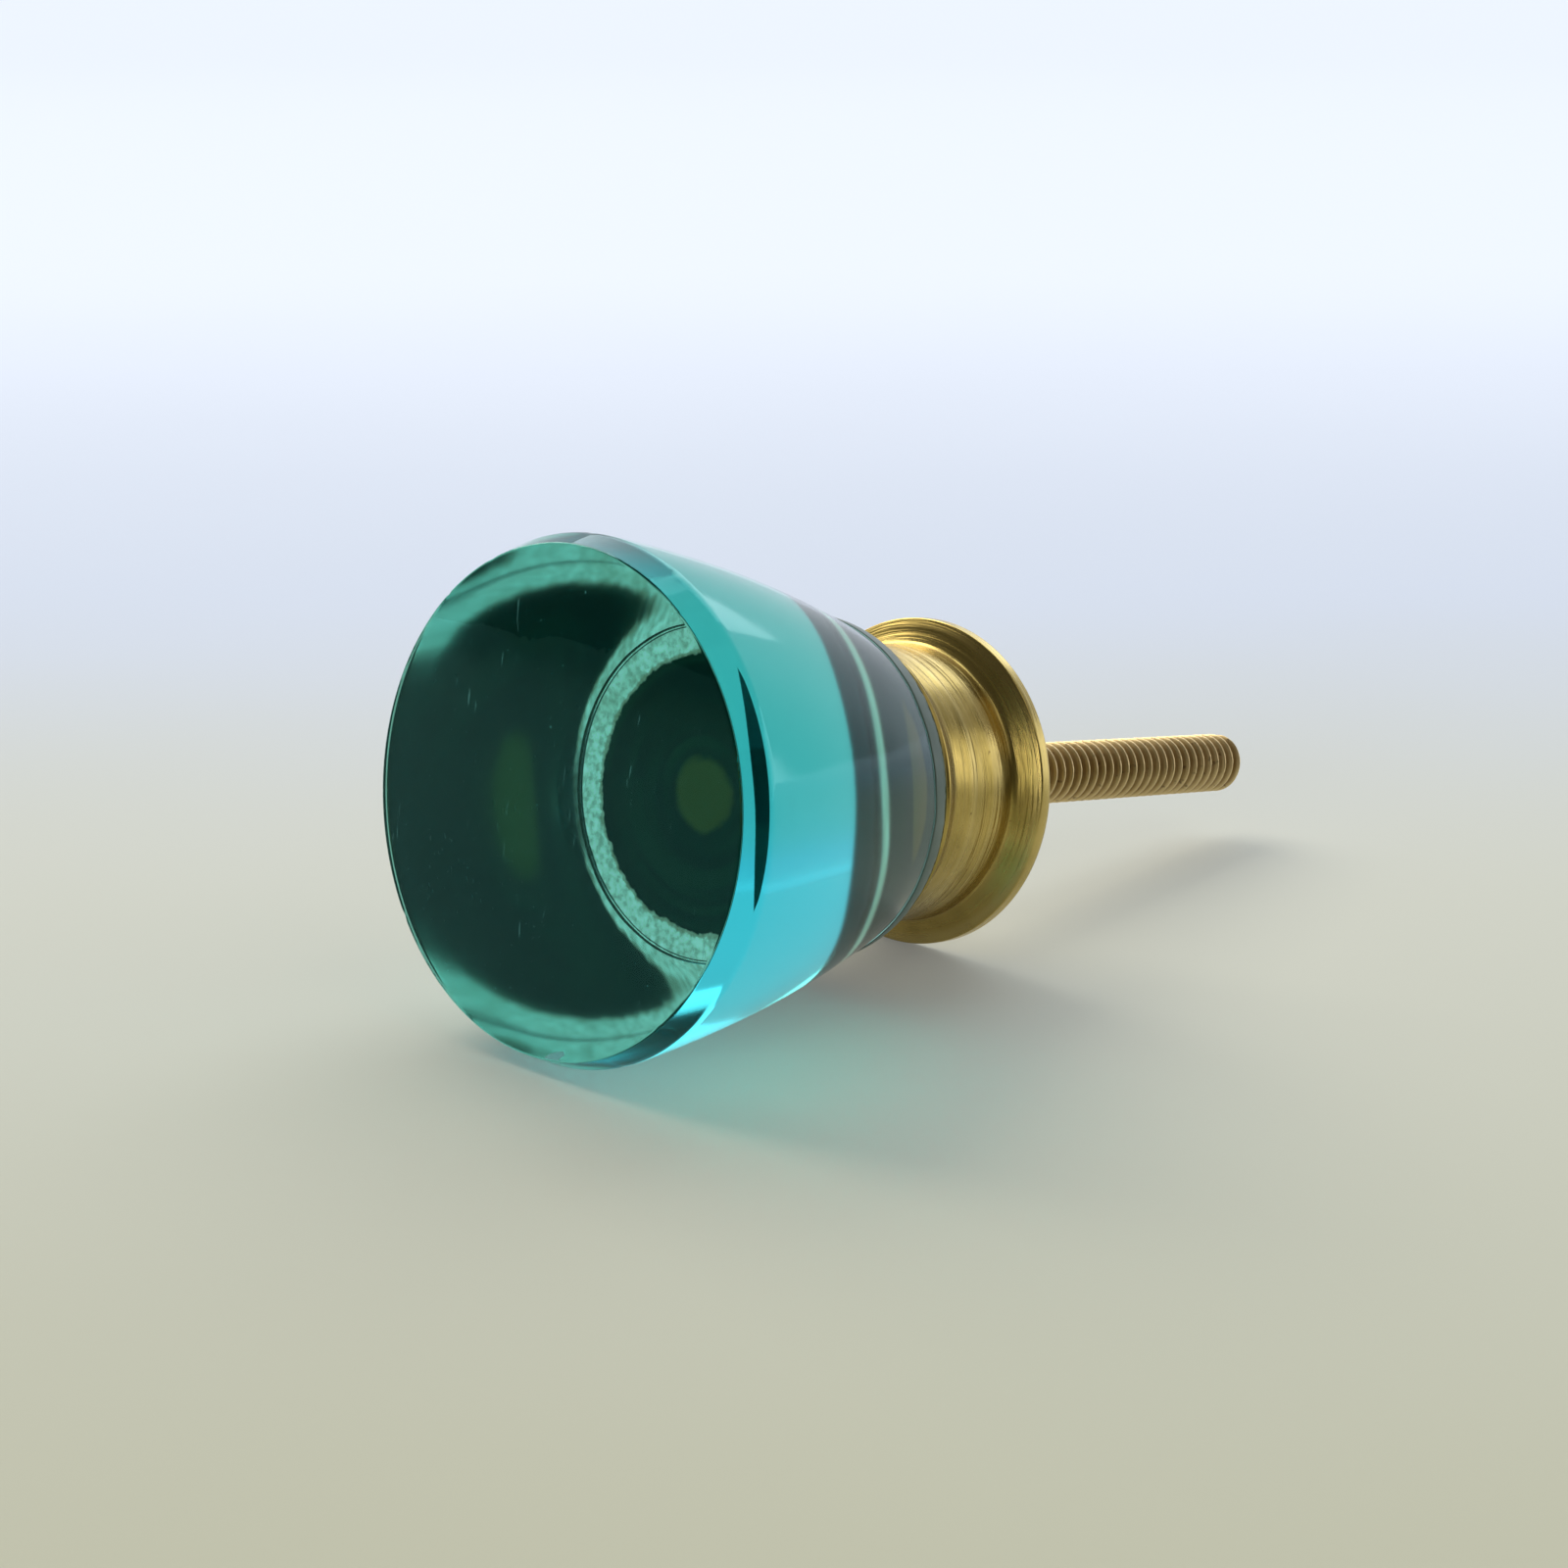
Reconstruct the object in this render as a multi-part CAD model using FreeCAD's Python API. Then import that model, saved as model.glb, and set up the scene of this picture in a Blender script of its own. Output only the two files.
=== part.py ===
"""Glass drawer knob: solid glass head glued to a turned brass base with a threaded stud.

Frame: millimetres, +Z up. The origin is the centre of the flat back of the flange, the face that
lies against the drawer. The knob's axis is Y: the glass head points towards -Y and the stud towards
+Y. Heights below are measured from the seat towards the glass, so a height h lies at y = -h.
"""
import FreeCAD
import Part

import math
import os

# stud
STUD_R = 2.4
PITCH = 1.058
THREAD_DEPTH = 0.62
CREST_FLAT = 0.132
ROOT_FLAT = 0.2
STUD_OUT = 40.0
STUD_IN = 7.9
TIP_CHAMFER = 0.75
INNER_CHAMFER = 0.35
END_LAND = 0.4
THREAD_START = 0.95
THREAD_TURNS = 35.25
INNER_TURNS = 1.5
CUTTER_REACH = 0.08
ENGAGED_R = 2.1

# ferrule
FLANGE_R = 12.1
FLANGE_EDGE = 0.95
RIM_ROUND = 0.15
NECK_R = 10.2
NECK_START = 1.9
NECK_END = 8.4
ROOT_FILLET = 0.3
FLARE_MID_R = 10.57
FLARE_MID_H = 9.35
FLARE_R = 11.25
FLARE_END = 10.1
LIP_R = 11.45
LIP_BULGE = 10.6
SEAT_H = 11.0
SEAT_OUTER_R = 11.2
SEAT_INNER_R = 10.1
MOUTH_END = 9.6
CUP_R = 9.0
CUP_FLOOR = 5.2
CUP_FILLET = 0.8
COUNTERSINK_R = 2.65

# glue
FILM = 0.15
STUD_GAP = 0.05
COLLAR_BULGE_R = 11.9
COLLAR_BULGE_H = 11.3
COLLAR_TOP = 14.1
COLLAR_EDGE = 0.22

# glass head
GLASS_BACK_R = 11.55
GLASS_BACK_CHAMFER = 0.12
GLASS_MID_R = 15.12
GLASS_MID_H = 22.4
SHOULDER_R = 17.62
SHOULDER_H = 35.6
FACE_R = 16.87
FACE_H = 37.6

AXIS = FreeCAD.Vector(0, 1, 0)
ORIGIN = FreeCAD.Vector(0, 0, 0)


def at(r, h):
    """Point of a profile at radius r and height h above the seat."""
    return FreeCAD.Vector(r, -h, 0)


def line(a, b):
    return Part.LineSegment(at(*a), at(*b)).toShape()


def arc(a, mid, b):
    return Part.Arc(at(*a), at(*mid), at(*b)).toShape()


def turned(edges):
    """Solid of revolution about the knob's axis from a closed chain of profile edges."""
    face = Part.Face(Part.Wire(edges))
    solid = face.revolve(ORIGIN, AXIS, 360)
    return Part.Solid(solid) if solid.ShapeType == "Shell" else solid


def circle_through(a, b, c):
    """Centre and radius of the circle through three profile points."""
    curve = Part.Arc(at(*a), at(*b), at(*c)).toShape().Curve
    return curve.Center, curve.Radius


def rounding(before, corner, after, setback):
    """Start, middle and end of the arc that rounds a profile corner, starting setback away from it."""
    def toward(target):
        dr = target[0] - corner[0]
        dh = target[1] - corner[1]
        size = math.hypot(dr, dh)
        return dr / size, dh / size

    a = toward(before)
    b = toward(after)
    half = math.acos(a[0] * b[0] + a[1] * b[1]) / 2
    bisector = math.hypot(a[0] + b[0], a[1] + b[1])
    inset = setback / math.cos(half) - setback * math.tan(half)
    middle = (
        corner[0] + (a[0] + b[0]) / bisector * inset,
        corner[1] + (a[1] + b[1]) / bisector * inset,
    )
    start = (corner[0] + a[0] * setback, corner[1] + a[1] * setback)
    end = (corner[0] + b[0] * setback, corner[1] + b[1] * setback)
    return start, middle, end


def glass_side_r(h):
    """Radius of the glass head's bulged side at height h."""
    back = (GLASS_BACK_R, SEAT_H + FILM)
    centre, radius = circle_through(back, (GLASS_MID_R, GLASS_MID_H), (SHOULDER_R, SHOULDER_H))
    dy = -h - centre.y
    return centre.x + math.sqrt(radius * radius - dy * dy)


def side_arc(h0, h1):
    """Piece of the glass head's side between two heights."""
    mid = (h0 + h1) / 2
    return arc((glass_side_r(h0), h0), (glass_side_r(mid), mid), (glass_side_r(h1), h1))


def make_glass_head():
    back = SEAT_H + FILM
    start = back + GLASS_BACK_CHAMFER
    edges = [
        line((0, back), (GLASS_BACK_R - GLASS_BACK_CHAMFER, back)),
        line((GLASS_BACK_R - GLASS_BACK_CHAMFER, back), (glass_side_r(start), start)),
        side_arc(start, SHOULDER_H),
        line((SHOULDER_R, SHOULDER_H), (FACE_R, FACE_H)),
        line((FACE_R, FACE_H), (0, FACE_H)),
        line((0, FACE_H), (0, back)),
    ]
    return turned(edges)


def cup_corner():
    """Start, middle and end of the rounding between the cup's wall and its floor."""
    return rounding((CUP_R, MOUTH_END), (CUP_R, CUP_FLOOR), (0, CUP_FLOOR), CUP_FILLET)


def make_adhesive():
    """Glue: fills the cup round the stud's end, wets the seat and stands as a collar round the glass."""
    back = SEAT_H + FILM
    start = back + GLASS_BACK_CHAMFER
    edge = (glass_side_r(COLLAR_TOP) + COLLAR_EDGE, COLLAR_TOP)
    bulge = (COLLAR_BULGE_R, COLLAR_BULGE_H)
    corner = cup_corner()
    hole_r = STUD_R + STUD_GAP
    hole_top = STUD_IN + STUD_GAP
    edges = [
        line((0, back), (GLASS_BACK_R - GLASS_BACK_CHAMFER, back)),
        line((GLASS_BACK_R - GLASS_BACK_CHAMFER, back), (glass_side_r(start), start)),
        side_arc(start, COLLAR_TOP),
        line((glass_side_r(COLLAR_TOP), COLLAR_TOP), edge),
        line(edge, bulge),
        line(bulge, (SEAT_OUTER_R, SEAT_H)),
        line((SEAT_OUTER_R, SEAT_H), (SEAT_INNER_R, SEAT_H)),
        line((SEAT_INNER_R, SEAT_H), (CUP_R, MOUTH_END)),
        line((CUP_R, MOUTH_END), corner[0]),
        arc(*corner),
        line(corner[2], (hole_r, CUP_FLOOR)),
        line((hole_r, CUP_FLOOR), (hole_r, hole_top)),
        line((hole_r, hole_top), (0, hole_top)),
        line((0, hole_top), (0, back)),
    ]
    return turned(edges)


def make_ferrule():
    root = rounding((FLANGE_R, FLANGE_EDGE), (NECK_R, NECK_START), (NECK_R, NECK_END), ROOT_FILLET)
    corner = cup_corner()
    sink_h = COUNTERSINK_R - ENGAGED_R
    edges = [
        line((ENGAGED_R, sink_h), (COUNTERSINK_R, 0)),
        line((COUNTERSINK_R, 0), (FLANGE_R - RIM_ROUND, 0)),
        line((FLANGE_R - RIM_ROUND, 0), (FLANGE_R, RIM_ROUND)),
        line((FLANGE_R, RIM_ROUND), (FLANGE_R, FLANGE_EDGE)),
        line((FLANGE_R, FLANGE_EDGE), root[0]),
        arc(*root),
        line(root[2], (NECK_R, NECK_END)),
        arc((NECK_R, NECK_END), (FLARE_MID_R, FLARE_MID_H), (FLARE_R, FLARE_END)),
        arc((FLARE_R, FLARE_END), (LIP_R, LIP_BULGE), (SEAT_OUTER_R, SEAT_H)),
        line((SEAT_OUTER_R, SEAT_H), (SEAT_INNER_R, SEAT_H)),
        line((SEAT_INNER_R, SEAT_H), (CUP_R, MOUTH_END)),
        line((CUP_R, MOUTH_END), corner[0]),
        arc(*corner),
        line(corner[2], (ENGAGED_R, CUP_FLOOR)),
        line((ENGAGED_R, CUP_FLOOR), (ENGAGED_R, sink_h)),
    ]
    return turned(edges)


def thread_groove(start, turns):
    """Solid swept along the helix that cuts the thread."""
    helix = Part.makeHelix(PITCH, turns * PITCH, STUD_R)
    helix.rotate(ORIGIN, FreeCAD.Vector(1, 0, 0), -90)
    helix.translate(FreeCAD.Vector(0, start, 0))
    half_out = (PITCH - CREST_FLAT) / 2
    half_in = ROOT_FLAT / 2
    slope = (half_out - half_in) / THREAD_DEPTH
    mouth = half_out + CUTTER_REACH * slope
    points = [
        FreeCAD.Vector(STUD_R - THREAD_DEPTH, start - half_in, 0),
        FreeCAD.Vector(STUD_R + CUTTER_REACH, start - mouth, 0),
        FreeCAD.Vector(STUD_R + CUTTER_REACH, start + mouth, 0),
        FreeCAD.Vector(STUD_R - THREAD_DEPTH, start + half_in, 0),
    ]
    profile = Part.makePolygon(points + [points[0]])
    return Part.Wire(helix).makePipeShell([profile], True, True)


def end_cone(y, direction, chamfer):
    """Ring that bevels one end of the rod."""
    margin = 1.0
    away = FreeCAD.Vector(0, direction, 0)
    start = FreeCAD.Vector(0, y, 0) - away * chamfer
    block = Part.makeCylinder(STUD_R + margin, chamfer + margin, start, away)
    core = Part.makeCone(STUD_R, STUD_R - chamfer, chamfer, start, away)
    return block.cut(core)


def make_stud():
    """Threaded length behind the seat, plain length in the ferrule's floor, short threaded end in the cup.

    The faces of the two threaded lengths are splines, so the only plain cylinders of the full radius
    are the two lands at the ends of the length behind the seat.
    """
    land_out = STUD_OUT - TIP_CHAMFER - END_LAND
    rod = Part.makeCylinder(STUD_R, land_out - END_LAND, AXIS * END_LAND, AXIS)
    threaded = rod.cut(thread_groove(THREAD_START, THREAD_TURNS)).toNurbs().Solids[0]
    first_land = Part.makeCylinder(STUD_R, END_LAND, ORIGIN, AXIS)
    tip = Part.makeCylinder(STUD_R, STUD_OUT - land_out, AXIS * land_out, AXIS)
    tip = tip.cut(end_cone(STUD_OUT, 1, TIP_CHAMFER))
    engaged = Part.makeCylinder(ENGAGED_R, CUP_FLOOR, AXIS * -CUP_FLOOR, AXIS)
    inner = Part.makeCylinder(STUD_R, STUD_IN - CUP_FLOOR, AXIS * -STUD_IN, AXIS)
    inner = inner.cut(thread_groove(PITCH - STUD_IN, INNER_TURNS))
    inner = inner.cut(end_cone(-STUD_IN, -1, INNER_CHAMFER)).toNurbs().Solids[0]
    print("stud lengths", round(threaded.Volume, 2), round(inner.Volume, 2))
    return inner.fuse([engaged, first_land, threaded, tip])


def largest_solid(shape):
    return max(shape.Solids, key=lambda s: s.Volume)


def save(name, shape):
    solid = largest_solid(shape)
    assert solid.isValid(), name
    solid.exportStep(os.path.join("parts", name + ".step"))
    print(name, round(solid.Volume, 2), solid.BoundBox)


os.makedirs("parts", exist_ok=True)
save("glass_head", make_glass_head())
save("adhesive", make_adhesive())
save("ferrule", make_ferrule())
save("stud", make_stud())
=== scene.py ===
"""Glass drawer knob: solid teal glass head, squeezed-out glue, turned brass ferrule, threaded stud.

The knob's axis is Y. Heights are measured from the drawer's face towards the glass, so a height h
lies at y = -h. Shapes are worked out in millimetres and put into the meshes in metres.
"""

import math

import bpy
import numpy as np
from mathutils import Matrix, Vector


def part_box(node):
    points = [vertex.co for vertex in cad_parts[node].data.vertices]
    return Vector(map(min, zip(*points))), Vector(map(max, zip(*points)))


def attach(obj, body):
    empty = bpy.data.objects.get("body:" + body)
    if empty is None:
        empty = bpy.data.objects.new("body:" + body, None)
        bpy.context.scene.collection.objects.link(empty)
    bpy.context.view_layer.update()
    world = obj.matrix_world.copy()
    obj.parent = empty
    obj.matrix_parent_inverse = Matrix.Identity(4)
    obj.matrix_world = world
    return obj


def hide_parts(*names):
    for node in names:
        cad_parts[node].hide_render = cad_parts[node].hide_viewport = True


MM = 0.001

# sizes read from the frame, in millimetres
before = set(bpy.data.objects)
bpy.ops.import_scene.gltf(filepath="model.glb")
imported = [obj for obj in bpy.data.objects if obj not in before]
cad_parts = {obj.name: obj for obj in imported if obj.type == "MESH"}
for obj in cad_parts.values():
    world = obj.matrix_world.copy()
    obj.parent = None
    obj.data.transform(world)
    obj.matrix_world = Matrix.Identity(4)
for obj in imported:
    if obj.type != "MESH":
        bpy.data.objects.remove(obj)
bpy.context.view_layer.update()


def span(node):
    """Largest radius about the axis, lowest height and highest height of a CAD node."""
    low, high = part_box(node)
    return high.x / MM, -high.y / MM, -low.y / MM


HEAD_R, HEAD_BACK, HEAD_FACE = span("glass_head")
GLUE_TOP = span("adhesive")[2]
FLANGE_R, _, LIP_H = span("ferrule")
STUD_R, STUD_TIP, STUD_INNER = span("stud")

# glass head
HEAD_BACK_R = 11.55
BACK_CHAMFER = 0.12
HEAD_MID_R = 15.12
HEAD_MID_H = 22.4
SHOULDER_H = HEAD_FACE - 2.0
BEVEL = 0.75

# ferrule
RIM_H = 0.95
NECK_R = 10.2
NECK_START = 1.9
NECK_END = 8.4
FLARE_R = 11.25
FLARE_END = 10.1
LIP_R = 11.44
LIP_BULGE_H = 10.55
LIP_TOP_R = 11.2
MOUTH_R = 10.1
MOUTH_H = 9.6
CUP_R = 9.0
CUP_FLOOR = 5.2
THREAD_HOLE_R = 2.1
COUNTERSINK_R = 2.65

# glue
GLUE_BITE = 0.02
BEAD_MEAN_TOP = GLUE_TOP - 0.62
BEAD_LOOSE_H = 11.5
BEAD_BULGE_R = 12.3
BEAD_BULGE_H = 11.4
WALL_GAP = 0.05
PLUG_FLOOR = 8.3
PRESSED_R = 11.44
DARK_R = 9.5
WET_H = 11.85

# stud
PITCH = 1.058
THREAD_DEPTH = 0.62
ROOT_HALF = 0.1
FLANK_WIDTH = 0.363
TIP_CHAMFER = 0.75
INNER_CHAMFER = 0.35

# stage: the knob lies on its glass shoulder and its flange, so the floor rises towards the flange
TILT = math.atan2(HEAD_R - FLANGE_R, SHOULDER_H)
TABLE_GAP = 0.00002
TABLE_REACH = 80
CAMERA_AT = Vector((135.9, -168.8, 30.9)) * MM
CAMERA_TURN = 41.49
CAMERA_RISE = 8.47
CAMERA_ROLL = 6.03
LENS = 67.5


# ---------------------------------------------------------------- shapes


def wave(angle, seed, turns):
    """Smooth uneven ring from -1 to 1: a mean of sines with whole numbers of turns and random phases."""
    rng = np.random.default_rng(seed)
    total = np.zeros_like(angle)
    for n in turns:
        total += np.sin(n * angle + rng.uniform(0, 2 * np.pi)) * rng.uniform(0.5, 1.0)
    return total / len(turns)


def rounded(corners, steps=6):
    """Profile with rounded corners: each corner (radius, height, rounding) is replaced by a quadratic
    curve from one rounding before it to one rounding after it, with a support point on each side."""
    corners = np.array(corners, float)
    out = []
    t = np.linspace(0, 1, steps)[:, None]
    for i, (r, h, size) in enumerate(corners):
        here = np.array((r, h))
        if size == 0 or i in (0, len(corners) - 1):
            out.append(here[None])
            continue
        before = corners[i - 1, :2] - here
        after = corners[i + 1, :2] - here
        a = before / np.linalg.norm(before)
        b = after / np.linalg.norm(after)
        start, end = here + a * size, here + b * size
        out.append((start + a * size * 0.4)[None])
        out.append((1 - t) ** 2 * start + 2 * t * (1 - t) * here + t ** 2 * end)
        out.append((end + b * size * 0.4)[None])
    return np.vstack(out)


def surface(name, points, ring=False):
    """Mesh object from a grid of points, rows along a profile and columns round the axis. The columns
    close on themselves. A ring's rows do too; otherwise each end row is closed with a point."""
    rows, cols, _ = points.shape
    index = np.arange(rows * cols).reshape(rows, cols)
    if ring:
        index = np.vstack((index, index[:1]))
    a, b = index[:-1], index[1:]
    quads = np.stack((a, b, np.roll(b, -1, 1), np.roll(a, -1, 1)), -1).reshape(-1, 4)
    verts = points.reshape(-1, 3)
    loops, starts = [quads.ravel()], [np.arange(len(quads)) * 4]
    if not ring:
        ends = np.array((points[0].mean(0), points[-1].mean(0)))
        verts = np.vstack((verts, ends))
        first, last = np.full(cols, rows * cols), np.full(cols, rows * cols + 1)
        fans = np.vstack((
            np.stack((first, index[0], np.roll(index[0], -1)), 1),
            np.stack((last, np.roll(index[-1], -1), index[-1]), 1),
        ))
        loops.append(fans.ravel())
        starts.append(len(quads) * 4 + np.arange(len(fans)) * 3)
    p = verts[quads]
    volume = np.einsum("ij,ij->i", p[:, 0], np.cross(p[:, 1], p[:, 2])).sum()
    volume += np.einsum("ij,ij->i", p[:, 0], np.cross(p[:, 2], p[:, 3])).sum()
    loops, starts = np.concatenate(loops), np.concatenate(starts)
    mesh = bpy.data.meshes.new(name)
    mesh.vertices.add(len(verts))
    mesh.vertices.foreach_set("co", (verts * MM).astype(np.float32).ravel())
    mesh.loops.add(len(loops))
    mesh.loops.foreach_set("vertex_index", loops.astype(np.int32))
    mesh.polygons.add(len(starts))
    mesh.polygons.foreach_set("loop_start", starts.astype(np.int32))
    mesh.update(calc_edges=True)
    if volume < 0:
        mesh.flip_normals()
    mesh.polygons.foreach_set("use_smooth", np.ones(len(starts), bool))
    mesh.update()
    piece = bpy.data.objects.new(name, mesh)
    bpy.context.scene.collection.objects.link(piece)
    return piece


def around(radius, height, angle):
    """Points at the given radii, heights and angles round the knob's axis."""
    radius, height, angle = np.broadcast_arrays(radius, height, angle)
    return np.stack((radius * np.cos(angle), -height, radius * np.sin(angle)), -1)


def turned(name, profile, segments, ring=False):
    """Profile turned about the axis."""
    angle = np.linspace(0, 2 * np.pi, segments, endpoint=False)[None]
    return surface(name, around(profile[:, :1], profile[:, 1:], angle), ring)


def head_side(h):
    """Radius of the glass side at height h: the circle through its back edge, middle and shoulder."""
    x0, x1, x2 = HEAD_BACK_R, HEAD_MID_R, HEAD_R
    y0, y1, y2 = HEAD_BACK, HEAD_MID_H, SHOULDER_H
    m = np.array(((x1 - x0, y1 - y0), (x2 - x0, y2 - y0))) * 2
    s = np.array((x1 ** 2 - x0 ** 2 + y1 ** 2 - y0 ** 2, x2 ** 2 - x0 ** 2 + y2 ** 2 - y0 ** 2))
    cx, cy = np.linalg.solve(m, s)
    size = math.hypot(x0 - cx, y0 - cy)
    return cx + np.sqrt(size ** 2 - (np.asarray(h, float) - cy) ** 2)


# mean slope of the glass side under the bead
HEAD_SLOPE = float(head_side(GLUE_TOP) - head_side(HEAD_BACK)) / (GLUE_TOP - HEAD_BACK)


def glass_head():
    """Solid head: flat back, bulged side, narrow bevel, flat front. The side swells and dips a few
    hundredths of a millimetre, and the front edge has a few small chips, each a round dip."""
    side_h = np.linspace(HEAD_BACK + 0.4, SHOULDER_H - 1.0, 40)
    side = np.stack((head_side(side_h), side_h, np.zeros_like(side_h)), 1)
    front_r = HEAD_R - BEVEL
    profile = rounded([
        (0.01, HEAD_BACK, 0),
        (HEAD_BACK_R - 0.05, HEAD_BACK, BACK_CHAMFER),
        *side,
        (HEAD_R, SHOULDER_H, 0.3),
        (front_r, HEAD_FACE, 0.12),
        (front_r - 2, HEAD_FACE, 0),
        (0.01, HEAD_FACE, 0),
    ])
    angle = np.linspace(0, 2 * np.pi, 384, endpoint=False)[None]
    r, h = profile[:, :1], profile[:, 1:]
    body = np.clip((h - 15) / 6, 0, 1) * np.clip((SHOULDER_H - h) / 4, 0, 1)
    swell = wave(angle, 3, (2, 3, 5)) * np.sin(h * 0.31) + wave(angle, 4, (4, 7)) * np.sin(h * 0.55 + 1)
    radius = r - 0.025 * body * (1 + swell)
    rng = np.random.default_rng(8)
    for _ in range(8):
        place = rng.uniform(0, 2 * np.pi)
        width = rng.uniform(0.01, 0.02)
        depth = rng.uniform(0.03, 0.09)
        corner = rng.choice((SHOULDER_H, HEAD_FACE))
        apart = np.angle(np.exp(1j * (angle - place)))
        near = np.exp(-(apart / width) ** 2 - ((h - corner) / 0.35) ** 2)
        radius = radius - depth * near * (r > 12)
    return surface("glass_head_looks", around(radius, h, angle))


def glue():
    """Hand-applied glue: it fills the cup, wets the seat and is squeezed up the glass as a bead with a
    wavy front edge. The bead's outer face is a quadratic curve from that edge to the lip. The glue bites
    a little into the glass's back, as glue in full contact does, and the bead stands off the side."""
    angle = np.linspace(0, 2 * np.pi, 384, endpoint=False)
    top = BEAD_MEAN_TOP + 0.5 * wave(angle, 13, (1, 2, 4, 7)) + 0.12 * wave(angle, 14, (11, 17, 26))
    zero = np.zeros_like(angle)
    film = HEAD_BACK + GLUE_BITE
    rows = [(r + zero, film + zero) for r in (0.02, 4, CUP_R, HEAD_BACK_R - BACK_CHAMFER)]
    for t in np.linspace(0, 1, 16):
        h = (HEAD_BACK + BACK_CHAMFER) * (1 - t) + top * t
        loose = np.clip((h - BEAD_LOOSE_H) / 0.3, 0, 1)
        rows.append((head_side(h) + GLUE_BITE * (2 * loose - 1), h))
    front = np.array((head_side(top) + 0.05, top + 0.02))
    bulge = np.array((BEAD_BULGE_R + 0.1 * wave(angle, 15, (2, 5, 8)), BEAD_BULGE_H + zero))
    foot = np.array((LIP_TOP_R + WALL_GAP + zero, LIP_H - 0.01 + zero))
    for t in np.linspace(0, 1, 14):
        r, h = (1 - t) ** 2 * front + 2 * t * (1 - t) * bulge + t ** 2 * foot
        rows.append((r, h))
    plug_r = CUP_R - WALL_GAP
    plug = ((MOUTH_R - WALL_GAP, LIP_H - 0.01), (plug_r, MOUTH_H), (plug_r, PLUG_FLOOR), (0.02, PLUG_FLOOR))
    rows += [(r + zero, h + zero) for r, h in plug]
    grid = np.array(rows)
    return surface("glue_looks", around(grid[:, 0], grid[:, 1], angle[None]))


def ferrule():
    """Turned base: slim wide flange with a conical front, straight neck, flared lip, cup inside. The
    flare's radius grows with the power 1.8 of the way from the neck to the lip."""
    flare = np.linspace(0, 1, 9)[1:-1]
    flare_r = NECK_R + (FLARE_R - NECK_R) * flare ** 1.8
    flare_h = NECK_END + (FLARE_END - NECK_END) * flare
    profile = rounded([
        (THREAD_HOLE_R, 3, 0),
        (THREAD_HOLE_R, COUNTERSINK_R - THREAD_HOLE_R, 0.05),
        (COUNTERSINK_R, 0, 0.05),
        (FLANGE_R, 0, 0.12),
        (FLANGE_R, RIM_H, 0.1),
        (NECK_R, NECK_START, 0.3),
        (NECK_R, NECK_END, 0.1),
        *np.stack((flare_r, flare_h, np.zeros_like(flare)), 1),
        (FLARE_R, FLARE_END, 0.1),
        (LIP_R, LIP_BULGE_H, 0.1),
        (LIP_TOP_R, LIP_H, 0.12),
        (MOUTH_R, LIP_H, 0.06),
        (CUP_R, MOUTH_H, 0.15),
        (CUP_R, CUP_FLOOR, 0.8),
        (THREAD_HOLE_R, CUP_FLOOR, 0.05),
        (THREAD_HOLE_R, 3.1, 0),
    ])
    return turned("ferrule_looks", profile, 384, ring=True)


def stud():
    """Threaded rod. Its radius is the smaller of the thread and the end bevels. The thread is a wave of
    the phase y / pitch - angle / turn: a flat crest, straight flanks and a flat root."""
    length = STUD_INNER - STUD_TIP
    rows = int(length / PITCH * 24)
    y = np.linspace(-STUD_INNER, -STUD_TIP, rows)[:, None]
    angle = np.linspace(0, 2 * np.pi, 72, endpoint=False)[None]
    phase = (y / PITCH - angle / (2 * np.pi)) % 1
    away = np.abs(phase - 0.5) * PITCH
    flank = (away - ROOT_HALF) / FLANK_WIDTH
    thread = STUD_R - THREAD_DEPTH * (1 - np.clip(flank, 0, 1))
    floor = (y > -CUP_FLOOR) & (y < -0.05)
    thread = np.where(floor, THREAD_HOLE_R - 0.01, thread)
    bevel = STUD_R - np.clip(y - (-STUD_TIP - TIP_CHAMFER), 0, None)
    bevel = np.minimum(bevel, STUD_R - np.clip(-STUD_INNER + INNER_CHAMFER - y, 0, None))
    radius = np.minimum(thread, bevel)
    return surface("stud_looks", around(radius, -y, angle))


# ---------------------------------------------------------------- materials


class Wire:
    """Output of a node. Arithmetic on wires and numbers adds Math nodes."""

    def __init__(self, nodes, socket):
        self.nodes = nodes
        self.socket = socket

    def math(self, operation, a, b):
        return self.nodes.add("ShaderNodeMath", {"operation": operation}, {0: a, 1: b})

    def __add__(self, other):
        return self.math("ADD", self, other)

    __radd__ = __add__

    def __sub__(self, other):
        return self.math("SUBTRACT", self, other)

    def __rsub__(self, other):
        return self.math("SUBTRACT", other, self)

    def __mul__(self, other):
        return self.math("MULTIPLY", self, other)

    __rmul__ = __mul__

    def __pow__(self, other):
        return self.math("POWER", self, other)

    def __rpow__(self, other):
        return self.math("POWER", other, self)

    def output(self, name):
        """Another output of the same node."""
        return Wire(self.nodes, self.socket.node.outputs[name])

    def between(self, low, high):
        """0 below low, 1 above high, smooth in between. Low may be above high, which turns it round."""
        return self.nodes.add(
            "ShaderNodeMapRange",
            {"interpolation_type": "SMOOTHSTEP"},
            {"Value": self, "From Min": low, "From Max": high},
        )


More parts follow.
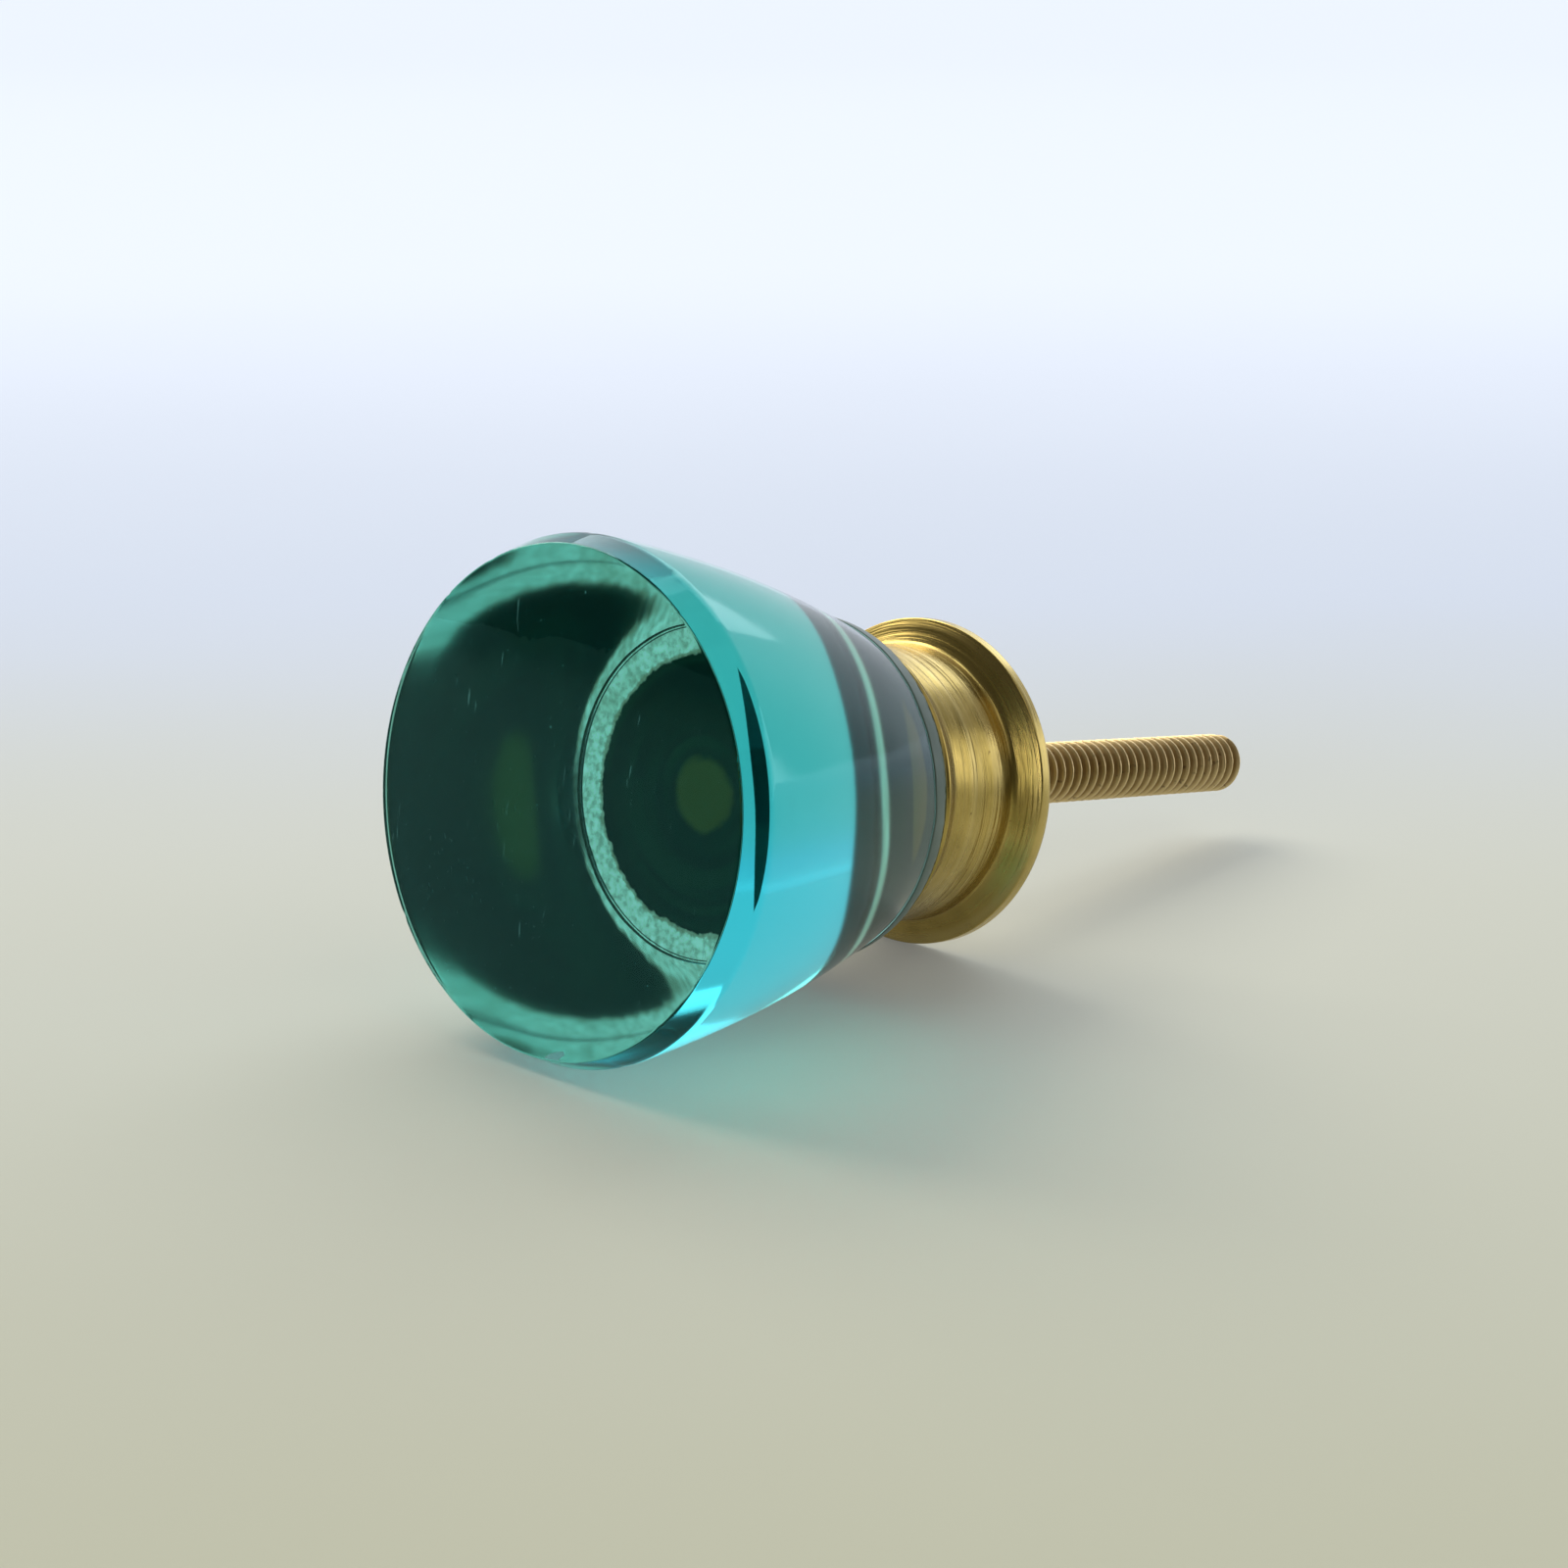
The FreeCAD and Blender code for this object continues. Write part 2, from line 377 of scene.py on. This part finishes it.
class Nodes:
    """Node tree of a material or a world, under construction."""

    def __init__(self, owner):
        owner.use_nodes = True
        self.owner = owner
        self.tree = owner.node_tree
        self.tree.nodes.clear()

    def add(self, kind, settings, inputs, out=0):
        """Any node: its type, its settings, then the values or wires of its inputs. A colour may be
        given as three numbers, and a ramp's stops as pairs of a position and such a colour."""
        node = self.tree.nodes.new(kind)
        for key, value in settings.items():
            if key == "stops":
                self.fill_ramp(node.color_ramp, value)
            else:
                setattr(node, key, value)
        for key, value in inputs.items():
            if isinstance(value, Wire):
                self.tree.links.new(value.socket, node.inputs[key])
            elif node.inputs[key].type == "RGBA":
                node.inputs[key].default_value = (*value, 1)
            else:
                node.inputs[key].default_value = value
        return Wire(self, node.outputs[out]) if node.outputs else None

    @staticmethod
    def fill_ramp(ramp, stops):
        while len(ramp.elements) < len(stops):
            ramp.elements.new(0.5)
        for element, (position, colour) in zip(ramp.elements, stops):
            element.position = position
            element.color = (*colour, 1)


class Paint(Nodes):
    """Material under construction. Radius and height are in millimetres, x, y and z in metres."""

    def __init__(self, name):
        super().__init__(bpy.data.materials.new(name))
        self.place = self.add("ShaderNodeTexCoord", {}, {}, "Object")
        self.x = self.add("ShaderNodeSeparateXYZ", {}, {0: self.place}, "X")
        self.y = self.x.output("Y")
        self.z = self.x.output("Z")
        self.height = self.y * (-1 / MM)
        self.radius = (self.x * self.x + self.z * self.z) ** 0.5 * (1 / MM)
        self.angle = self.x.math("ARCTAN2", self.z, self.x)

    def spot(self, x, y, z):
        """Vector from three wires or numbers."""
        return self.add("ShaderNodeCombineXYZ", {}, {0: x, 1: y, 2: z})

    def noise(self, scale, detail, at=None):
        """Noise with features about 1 / scale metres across."""
        return self.add(
            "ShaderNodeTexNoise", {},
            {"Vector": at or self.place, "Scale": scale, "Detail": detail, "Roughness": 0.55},
        )

    def blend(self, amount, a, b, how="MIX"):
        """Colour a, turning to colour b as the amount goes from 0 to 1. The sockets of a colour mix
        are numbered: 0 is the amount, 6 and 7 are the colours, and output 2 is the result."""
        settings = {"data_type": "RGBA", "blend_type": how}
        return self.add("ShaderNodeMix", settings, {0: amount, 6: a, 7: b}, 2)

    def bump(self, height, distance, strength):
        return self.add(
            "ShaderNodeBump", {}, {"Height": height, "Distance": distance, "Strength": strength}, "Normal"
        )

    def surface(self, **inputs):
        """Principled surface."""
        named = {key.replace("_", " "): value for key, value in inputs.items()}
        return self.add("ShaderNodeBsdfPrincipled", {}, named)

    def done(self, surface, **volume):
        self.add("ShaderNodeOutputMaterial", {}, {"Surface": surface, **volume})
        return self.owner


def teal_glass():
    """Clear teal glass with fine scratches and dust on the flat front and a few rubbed patches."""
    p = Paint("teal_glass")
    front = p.height.between(HEAD_FACE - 0.3, HEAD_FACE - 0.02)
    streaks = p.noise(3600, 1, p.spot(p.x, p.y, p.z * 0.14))
    fine = p.noise(3400, 1)
    worn = p.noise(110, 2).between(0.45, 0.62)
    scratch = streaks.between(0.7, 0.78) * worn
    dust = fine.between(0.76, 0.82)
    marks = (scratch * 0.3 + dust * 0.45) * (front * 0.8 + 0.2)
    ripple = p.noise(70, 2, p.spot(p.x, p.y * 0.5, p.z))
    body = p.surface(
        Base_Color=(0.93, 1.0, 1.0),
        Roughness=0.09 - p.height.between(SHOULDER_H - 1, SHOULDER_H) * 0.06 - front * 0.02,
        IOR=1.5,
        Transmission_Weight=1.0,
        Specular_Tint=(0.0, 0.56, 0.62),
        Normal=p.bump(ripple, 0.00035, 0.12),
    )
    grime = p.surface(Base_Color=(0.2, 0.75, 0.78), Roughness=0.7)
    mixed = p.add("ShaderNodeMixShader", {}, {0: marks, 1: body, 2: grime})
    tint = p.add("ShaderNodeVolumeAbsorption", {}, {"Color": (0.0, 0.84, 0.87), "Density": 80.0})
    return p.done(mixed, Volume=tint)


def glue_paint():
    """Cured glue. Pressed on the seat it is pale and sandy with a brown inner edge; it shines reddish
    by emission as painted light let through the glue, and its +x half is darkened as painted shade.
    Over the cup it is dark green, painted shade standing in for the shaded cup behind the glass, with
    faint painted turned rings and a painted spot for the stud's end in the middle. The bead is grey
    satin, and dark green and glossy where it is thick next to the lip; its inner face on the +x side
    is painted lighter and shines as painted light."""
    p = Paint("cured_glue")
    grain = p.noise(1900, 4)
    patch = p.noise(300, 3)
    arcs = p.noise(900, 2, p.spot(p.radius * MM, 0.0, p.angle * 0.0003))
    uneven = p.radius + (patch - 0.5) * 0.9 + (grain - 0.5) * 0.6
    pressed = p.radius.between(PRESSED_R + 0.08, PRESSED_R)
    pressed = pressed * p.height.between(HEAD_BACK - 0.08, HEAD_BACK - 0.02)
    over_cup = uneven.between(DARK_R + 0.2, DARK_R)
    line = uneven.between(DARK_R + 0.5, DARK_R + 0.25)
    middle = uneven.between(STUD_R + 0.5, STUD_R - 0.2)
    sand = p.blend(grain.between(0.3, 0.7), (0.42, 0.40, 0.30), (0.86, 0.82, 0.68))
    sand = p.blend(patch.between(0.5, 0.75) * 0.4, sand, (0.36, 0.32, 0.20))
    sand = p.blend(line * 0.7, sand, (0.24, 0.16, 0.08))
    # painted shade: the seat ring's +x half is darkened, the half where the light through the glass does
    # not fall
    painted_shaded_half = (p.x + (patch - 0.5) * 0.006).between(0.0015, 0.0045)
    sand = p.blend(painted_shaded_half * 0.9, sand, (0.03, 0.08, 0.05))
    # painted shade: over the cup a dark green sheet stands in for the shaded cup seen through the glass;
    # the faint rings are painted turning marks and the olive middle spot is a painted stud end
    dark = p.blend(arcs.between(0.4, 0.7), (0.001, 0.009, 0.005), (0.004, 0.018, 0.009))
    dark = p.blend(middle * 0.8, dark, (0.07, 0.06, 0.012))
    seat = p.blend(over_cup, sand, dark)
    top_r = float(head_side(GLUE_TOP))
    outside = p.radius - (p.height - GLUE_TOP) * HEAD_SLOPE
    inner = outside.between(top_r + 0.05, top_r + 0.03)
    inner = inner * p.height.between(HEAD_BACK + 0.3, HEAD_BACK + 0.5)
    # painted light: the bead's inner face on the +x side, seen through the glass from the camera's side, is
    # painted lighter
    painted_lit_side = p.x.between(-0.002, 0.005)
    ragged = p.height + (p.noise(700, 3) - 0.5) * 0.9
    wet = ragged.between(WET_H + 0.15, WET_H)
    bead = p.blend(patch.between(0.35, 0.7), (0.10, 0.15, 0.13), (0.14, 0.19, 0.17))
    bead = p.blend(wet, bead, (0.008, 0.035, 0.012))
    bead = p.blend(inner * painted_lit_side, bead, (0.42, 0.55, 0.48))
    # painted light: the pressed seat shines reddish by emission, standing in for light let through the glue
    painted_seat_glow = p.blend(1.0, seat, (1.0, 0.40, 0.36), "MULTIPLY")
    # painted light: emission colour making that inner face on the +x side shine
    painted_inner_glow = p.blend(inner * painted_lit_side, (0.0, 0.0, 0.0), (0.14, 0.22, 0.21))
    shade = p.surface(
        Base_Color=p.blend(pressed, bead, seat),
        Roughness=pressed * 0.65 + (1 - pressed) * (1 - wet) * 0.25 + 0.1,
        Specular_IOR_Level=0.35,
        Emission_Color=p.blend(pressed, painted_inner_glow, painted_seat_glow),
        Emission_Strength=2.1,
        Normal=p.bump(grain * pressed * (1 - over_cup) + patch * 0.3, 0.0001, 0.5),
    )
    return p.done(shade)


def turned_brass():
    """Lathe-turned brass: fine rings round the axis, olive tarnish in patches, brown specks."""
    p = Paint("turned_brass")
    across = p.spot(p.radius * MM, p.height * MM, p.angle * 0.0004)
    rings = p.noise(2600, 3, across)
    broad = p.noise(700, 2, across)
    patches = p.noise(160, 4)
    specks = p.noise(1300, 2).between(0.7, 0.78) * p.noise(120, 2).between(0.45, 0.6)
    colour = p.blend(patches.between(0.35, 0.7), (0.50, 0.37, 0.11), (0.34, 0.25, 0.065))
    colour = p.blend(broad.between(0.4, 0.75) * 0.4, colour, (0.68, 0.55, 0.24))
    colour = p.blend(specks * 0.7, colour, (0.10, 0.055, 0.02))
    shade = p.surface(
        Base_Color=colour,
        Metallic=1.0,
        Roughness=rings * 0.2 + patches * 0.14 + 0.1,
        Normal=p.bump(rings + broad * 2, 0.00008, 0.9),
    )
    return p.done(shade)


def tarnished_brass():
    """Old threaded rod: dull brown in the grooves, rubbed brighter on the crests."""
    p = Paint("tarnished_brass")
    patches = p.noise(220, 4)
    fine = p.noise(1800, 3)
    crest = p.radius.between(STUD_R - 0.3, STUD_R - 0.02)
    colour = p.blend(patches.between(0.35, 0.7), (0.32, 0.21, 0.08), (0.45, 0.32, 0.15))
    colour = p.blend(crest * (fine * 0.5 + 0.5), colour, (0.74, 0.58, 0.30))
    colour = p.blend(fine.between(0.6, 0.72) * 0.6, colour, (0.09, 0.055, 0.03))
    shade = p.surface(
        Base_Color=colour,
        Metallic=0.92,
        Roughness=0.5 - crest * 0.14 + fine * 0.1,
        Normal=p.bump(fine, 0.00006, 0.5),
    )
    return p.done(shade)


# ---------------------------------------------------------------- stage


def looking_from(turn, rise):
    """Unit vector from the knob towards a viewer at that azimuth and elevation, in degrees."""
    a, e = math.radians(turn), math.radians(rise)
    return Vector((math.sin(a) * math.cos(e), -math.cos(a) * math.cos(e), math.sin(e)))


def camera():
    data = bpy.data.cameras.new("camera")
    data.lens = LENS
    data.sensor_width = 36
    data.clip_start = 0.005
    data.clip_end = 200
    item = bpy.data.objects.new("camera", data)
    bpy.context.scene.collection.objects.link(item)
    back = looking_from(CAMERA_TURN, CAMERA_RISE)
    level = back.to_track_quat("Z", "Y").to_matrix()
    roll = Matrix.Rotation(math.radians(CAMERA_ROLL), 3, "Z")
    item.matrix_world = Matrix.Translation(CAMERA_AT) @ (level @ roll).to_4x4()
    bpy.context.scene.camera = item


UP = Vector((0, -math.sin(TILT), math.cos(TILT)))
AWAY = -looking_from(CAMERA_TURN, CAMERA_RISE)
AWAY = (AWAY - AWAY.dot(UP) * UP).normalized()
RIGHT = AWAY.cross(UP)


def floor():
    """Pale table top: one wide flat sheet under the shoulder and the flange. Its colour changes from
    khaki near the viewer to a cool grey farther off, a painted gradient of light and shade, and the
    near part shines faintly as painted fill light in the shadows; the far part glows like a bright room."""
    foot = -UP * (FLANGE_R * MM * math.cos(TILT) + TABLE_GAP)
    signs = ((-1, -1), (1, -1), (1, 1), (-1, 1))
    corners = [foot + (RIGHT * i + AWAY * j) * TABLE_REACH for i, j in signs]
    mesh = bpy.data.meshes.new("table")
    mesh.from_pydata(corners, [], [(0, 1, 2, 3)])
    item = bpy.data.objects.new("table", mesh)
    bpy.context.scene.collection.objects.link(item)
    p = Paint("table_top")
    depth = p.x * AWAY.x + p.y * AWAY.y + p.z * AWAY.z
    cloud = p.noise(9, 2)
    along = depth + cloud * 0.04
    # painted light and shade: khaki and darker near the viewer, cooler and brighter farther off, standing
    # in for how the light falls on the table
    near = p.blend(along.between(-0.16, 0.05), (0.37, 0.36, 0.20), (0.52, 0.53, 0.46))
    near = p.blend(along.between(0.02, 0.16), near, (0.52, 0.58, 0.71))
    far = along.between(0.06, 0.6)
    grain = p.noise(2500, 2)
    shade = p.surface(
        Base_Color=p.blend(far, near, (0.02, 0.02, 0.02)),
        # painted fill light: the near table shines faintly (0.13) to lift its shadows; the far part's
        # emission is the bright backdrop
        Emission_Color=p.blend(far, (0.13, 0.135, 0.135), (0.82, 0.88, 1.0)),
        Emission_Strength=1.0,
        Roughness=grain * 0.1 + 0.8,
        Specular_IOR_Level=0.1,
    )
    item.data.materials.append(p.done(shade))


def softbox(name, turn, rise, distance, size, power, colour):
    """Square area light aimed at the knob. Turn and rise are in degrees, measured along the table from
    the camera's side."""
    a, e = math.radians(turn), math.radians(rise)
    way = (RIGHT * math.sin(a) - AWAY * math.cos(a)) * math.cos(e) + UP * math.sin(e)
    aim = way.to_track_quat("Z", "Y").to_matrix().to_4x4()
    data = bpy.data.lights.new(name, "AREA")
    data.shape = "SQUARE"
    data.size = size
    data.energy = power
    data.color = colour
    item = bpy.data.objects.new(name, data)
    bpy.context.scene.collection.objects.link(item)
    item.matrix_world = Matrix.Translation(way * distance) @ aim


def daylight():
    """World that is bright beyond the knob and dim on the viewer's side."""
    sky = Nodes(bpy.data.worlds.new("room"))
    way = sky.add("ShaderNodeTexCoord", {}, {}, "Generated")
    bright = AWAY * 0.95 + UP * 0.3
    toward = sky.add("ShaderNodeVectorMath", {"operation": "DOT_PRODUCT"}, {0: way, 1: bright}, "Value")
    half = sky.add("ShaderNodeMapRange", {}, {"Value": toward, "From Min": -1})
    stops = ((0.0, (0.05, 0.048, 0.04)), (0.66, (0.13, 0.13, 0.12)), (0.86, (1.0, 1.05, 1.15)))
    colour = sky.add("ShaderNodeValToRGB", {"stops": stops}, {"Fac": half})
    light = sky.add("ShaderNodeBackground", {}, {"Color": colour, "Strength": 0.8})
    sky.add("ShaderNodeOutputWorld", {}, {"Surface": light})
    bpy.context.scene.world = sky.owner


# ---------------------------------------------------------------- assembly


def fit_out(piece, node, material):
    """Give a piece its material and its body, and hide the CAD node it stands for."""
    piece.data.materials.append(material)
    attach(piece, "root")
    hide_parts(node)


fit_out(glass_head(), "glass_head", teal_glass())
fit_out(glue(), "adhesive", glue_paint())
fit_out(ferrule(), "ferrule", turned_brass())
fit_out(stud(), "stud", tarnished_brass())

camera()
floor()
daylight()
softbox("window_right", 98, 8, 2.0, 1.1, 8.0, (0.96, 0.98, 1.0))
softbox("window_front", -30, 14, 2.0, 0.5, 3.6, (1.0, 0.98, 0.94))
softbox("window_left", -140, 42, 2.2, 1.4, 30.0, (1.0, 0.94, 0.82))
softbox("lamp_above", 55, 48, 2.0, 1.5, 4.0, (1.0, 0.96, 0.88))
softbox("window_far", 165, 45, 2.4, 2.0, 20.0, (0.88, 0.94, 1.0))
bpy.context.scene.view_settings.view_transform = "Standard"
